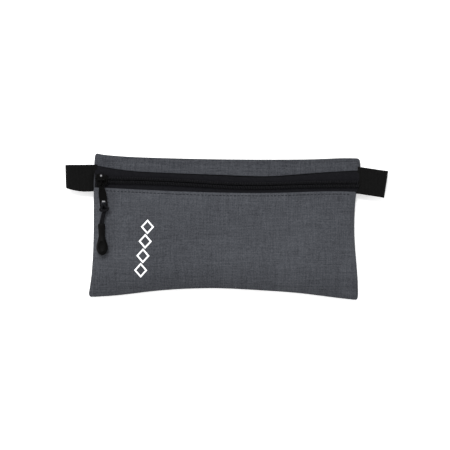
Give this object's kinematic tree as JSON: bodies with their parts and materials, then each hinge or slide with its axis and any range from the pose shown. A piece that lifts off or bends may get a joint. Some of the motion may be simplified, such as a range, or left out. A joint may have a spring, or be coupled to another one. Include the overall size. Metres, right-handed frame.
{
  "type": "cash deposit bag",
  "caption": "Flat woven cloth cash deposit bag with a full-width coil zip below its top edge, a slider with a corded pull, and a folded webbing loop in each side seam.",
  "frame": {"origin": "middle of the bag's back, on the plane it lies on", "axes": "+X along the zip towards the bag's right side seen from the front, +Y towards the top edge, +Z out of the front panel"},
  "size_m": [0.301, 0.1353, 0.0183],
  "materials": {
    "cloth": "slate grey plain weave",
    "tape": "black woven zip tape",
    "coil": "black nylon coil",
    "webbing": "black ribbed webbing",
    "metal": "black enamelled zinc",
    "cord": "black braided cord",
    "grip": "black moulded rubber-like plastic"
  },
  "bodies": {
    "bag": {"back_panel": "cloth", "front_panel": "cloth", "top_strip_left_end": "cloth", "top_strip_right_end": "cloth", "top_fold": "cloth", "left_seam_binding": "tape", "right_seam_binding": "tape", "bottom_seam_binding": "tape", "lower_zipper_tape": "tape", "upper_tape_left_end": "tape", "upper_tape_right_end": "tape", "lower_zipper_coil": "coil", "upper_coil_left_end": "coil", "upper_coil_right_end": "coil"},
    "mouth_flap": {"top_strip": "cloth", "upper_zipper_tape": "tape", "upper_zipper_coil": "coil"},
    "slider": {"slider_body": "metal", "slider_crown": "metal"},
    "link": {"pull_link": "metal"},
    "tab": {"pull_tab": "metal"},
    "cord_pull": {"pull_cord": "cord", "cord_grip": "grip"},
    "left_loop": {"left_webbing_loop": "webbing"},
    "right_loop": {"right_webbing_loop": "webbing"}
  },
  "joints": [
    {"name": "mouth_open", "type": "hinge", "parent": "bag", "child": "mouth_flap", "pos_m": [0, 0.0602, 0.0059], "axis": [-1, 0, 0], "range_deg": [0, 60]},
    {"name": "slider_travel", "type": "slide", "parent": "bag", "child": "slider", "axis": [1, 0, 0], "range_m": [0, 0.2292], "deforming": ["lower_zipper_coil", "upper_zipper_coil", "upper_coil_left_end", "upper_coil_right_end"]},
    {"name": "link_lift", "type": "hinge", "parent": "slider", "child": "link", "pos_m": [-0.1146, 0.0415, 0.0154], "axis": [-1, 0, 0], "range_deg": [0, 150]},
    {"name": "tab_swing", "type": "hinge", "parent": "link", "child": "tab", "pos_m": [-0.1146, 0.03615, 0.0154], "axis": [0, 0, 1], "range_deg": [-60, 60]},
    {"name": "cord_swing", "type": "hinge", "parent": "tab", "child": "cord_pull", "pos_m": [-0.11187, 0.01674, 0.0154], "axis": [-0.9903, -0.1392, 0], "range_deg": [0, 60]},
    {"name": "left_loop_flex", "type": "hinge", "parent": "bag", "child": "left_loop", "pos_m": [-0.12451, 0.0432, 0.00896], "axis": [0, 1, 0], "range_deg": [-35, 75], "stiffness_Nm_per_rad": 0.004},
    {"name": "right_loop_flex", "type": "hinge", "parent": "bag", "child": "right_loop", "pos_m": [0.12641, 0.0432, 0.00896], "axis": [0.1564, 0.9877, 0], "range_deg": [-75, 35], "stiffness_Nm_per_rad": 0.004}
  ]
}
